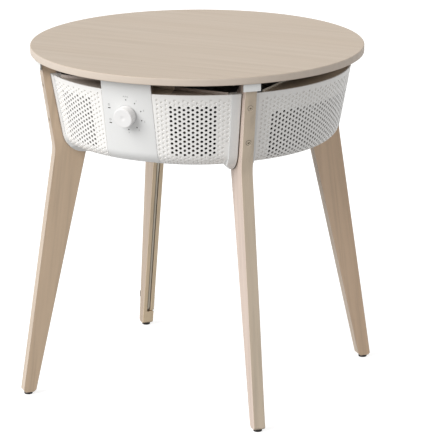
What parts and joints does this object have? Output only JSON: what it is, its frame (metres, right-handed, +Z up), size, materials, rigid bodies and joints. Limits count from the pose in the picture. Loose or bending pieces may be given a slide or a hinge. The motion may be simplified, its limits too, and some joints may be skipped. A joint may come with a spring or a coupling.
{
  "type": "air purifier table",
  "caption": "Round side table on four board legs with an air purifier hung under its top: perforated housing, control knob, fan, filters and bottom cover.",
  "frame": {"origin": "on the floor, on the vertical axis of the round table top", "axes": "+Z up; the control panel faces -Y; the legs stand on the diagonals"},
  "size_m": [0.573, 0.6423, 0.566],
  "materials": {
    "stained_wood": "satin, beige stained veneer",
    "white_plastic": "satin moulded",
    "knob_plastic": "satin moulded",
    "screw_steel": "nickel plated",
    "bare_steel": "bright",
    "copper_winding": "enamelled wire",
    "circuit_board": "lacquered",
    "filter_paper": "matt",
    "filter_mesh": "matt",
    "light_pipe": "smoked",
    "deck_plastic": "matt",
    "glide_plastic": "matt",
    "lead_jacket": "satin",
    "dark_plastic": "matt"
  },
  "bodies": {
    "root": {"table_top": "stained_wood", "leg_front_right": "stained_wood", "leg_back_right": "stained_wood", "leg_back_left": "stained_wood", "leg_front_left": "stained_wood", "post_front_right": "white_plastic", "post_back_right": "white_plastic", "post_back_left": "white_plastic", "post_front_left": "white_plastic", "leg_screws": "screw_steel", "top_screws": "screw_steel", "foot_glides": "glide_plastic", "grille_front_left": "white_plastic", "grille_front_right": "white_plastic", "grille_right": "white_plastic", "grille_back": "white_plastic", "grille_left": "white_plastic", "control_panel": "white_plastic", "light_pipes": "light_pipe", "control_board": "circuit_board", "board_screws": "screw_steel", "encoder_body": "bare_steel", "base_pan": "white_plastic", "top_deck": "deck_plastic", "deck_screws": "screw_steel", "inlet_ring": "white_plastic", "motor_bracket": "bare_steel", "motor_screws": "screw_steel", "motor_stator": "copper_winding", "lower_bearing": "bare_steel", "upper_bearing": "bare_steel", "reset_switch": "dark_plastic", "power_board": "circuit_board", "dust_sensor": "dark_plastic", "fan_lead": "lead_jacket", "panel_lead": "lead_jacket", "cord_gland": "lead_jacket", "power_lead": "lead_jacket", "cord_hank": "lead_jacket", "cord_tie": "lead_jacket", "lead_plug": "lead_jacket"},
    "plunger": {"push_plunger": "dark_plastic"},
    "knob": {"encoder_shaft": "bare_steel", "control_knob": "knob_plastic"},
    "fan": {"rotor_cup": "bare_steel", "magnet_ring": "dark_plastic", "fan_shaft": "bare_steel", "fan_nut": "bare_steel", "fan_impeller": "white_plastic"},
    "cover": {"filter_cover": "white_plastic", "cover_handle": "white_plastic"},
    "prefilter": {"pre_filter": "filter_mesh"},
    "filter": {"particle_filter": "filter_paper"},
    "reset": {"reset_button": "dark_plastic"}
  },
  "joints": [
    {"name": "knob_press", "type": "slide", "parent": "root", "child": "plunger", "axis": [0, 0.9833, 0.1822], "range_m": [0, 0.0012], "stiffness_N_per_m": 1500},
    {"name": "knob_turn", "type": "hinge", "parent": "plunger", "child": "knob", "pos_m": [0, -0.24257, 0.4976], "axis": [0, -0.9833, -0.1822], "range_deg": [-180, 0]},
    {"name": "fan_spin", "type": "hinge", "parent": "root", "child": "fan", "pos_m": [0, 0, 0.5], "axis": [0, 0, 1], "continuous": true},
    {"name": "cover_lift", "type": "slide", "parent": "root", "child": "cover", "axis": [0, 0, -1], "range_m": [0, 0.16]},
    {"name": "prefilter_lift", "type": "slide", "parent": "root", "child": "prefilter", "axis": [0, 0, -1], "range_m": [0, 0.096]},
    {"name": "filter_lift", "type": "slide", "parent": "root", "child": "filter", "axis": [0, 0, -1], "range_m": [0, 0.056]},
    {"name": "reset_press", "type": "slide", "parent": "root", "child": "reset", "axis": [0, 0, 1], "range_m": [0, 0.001], "stiffness_N_per_m": 600}
  ],
  "couplings": [
    {"joint": "prefilter_lift", "follows": "cover_lift", "ratio": 0.6},
    {"joint": "filter_lift", "follows": "cover_lift", "ratio": 0.35}
  ]
}
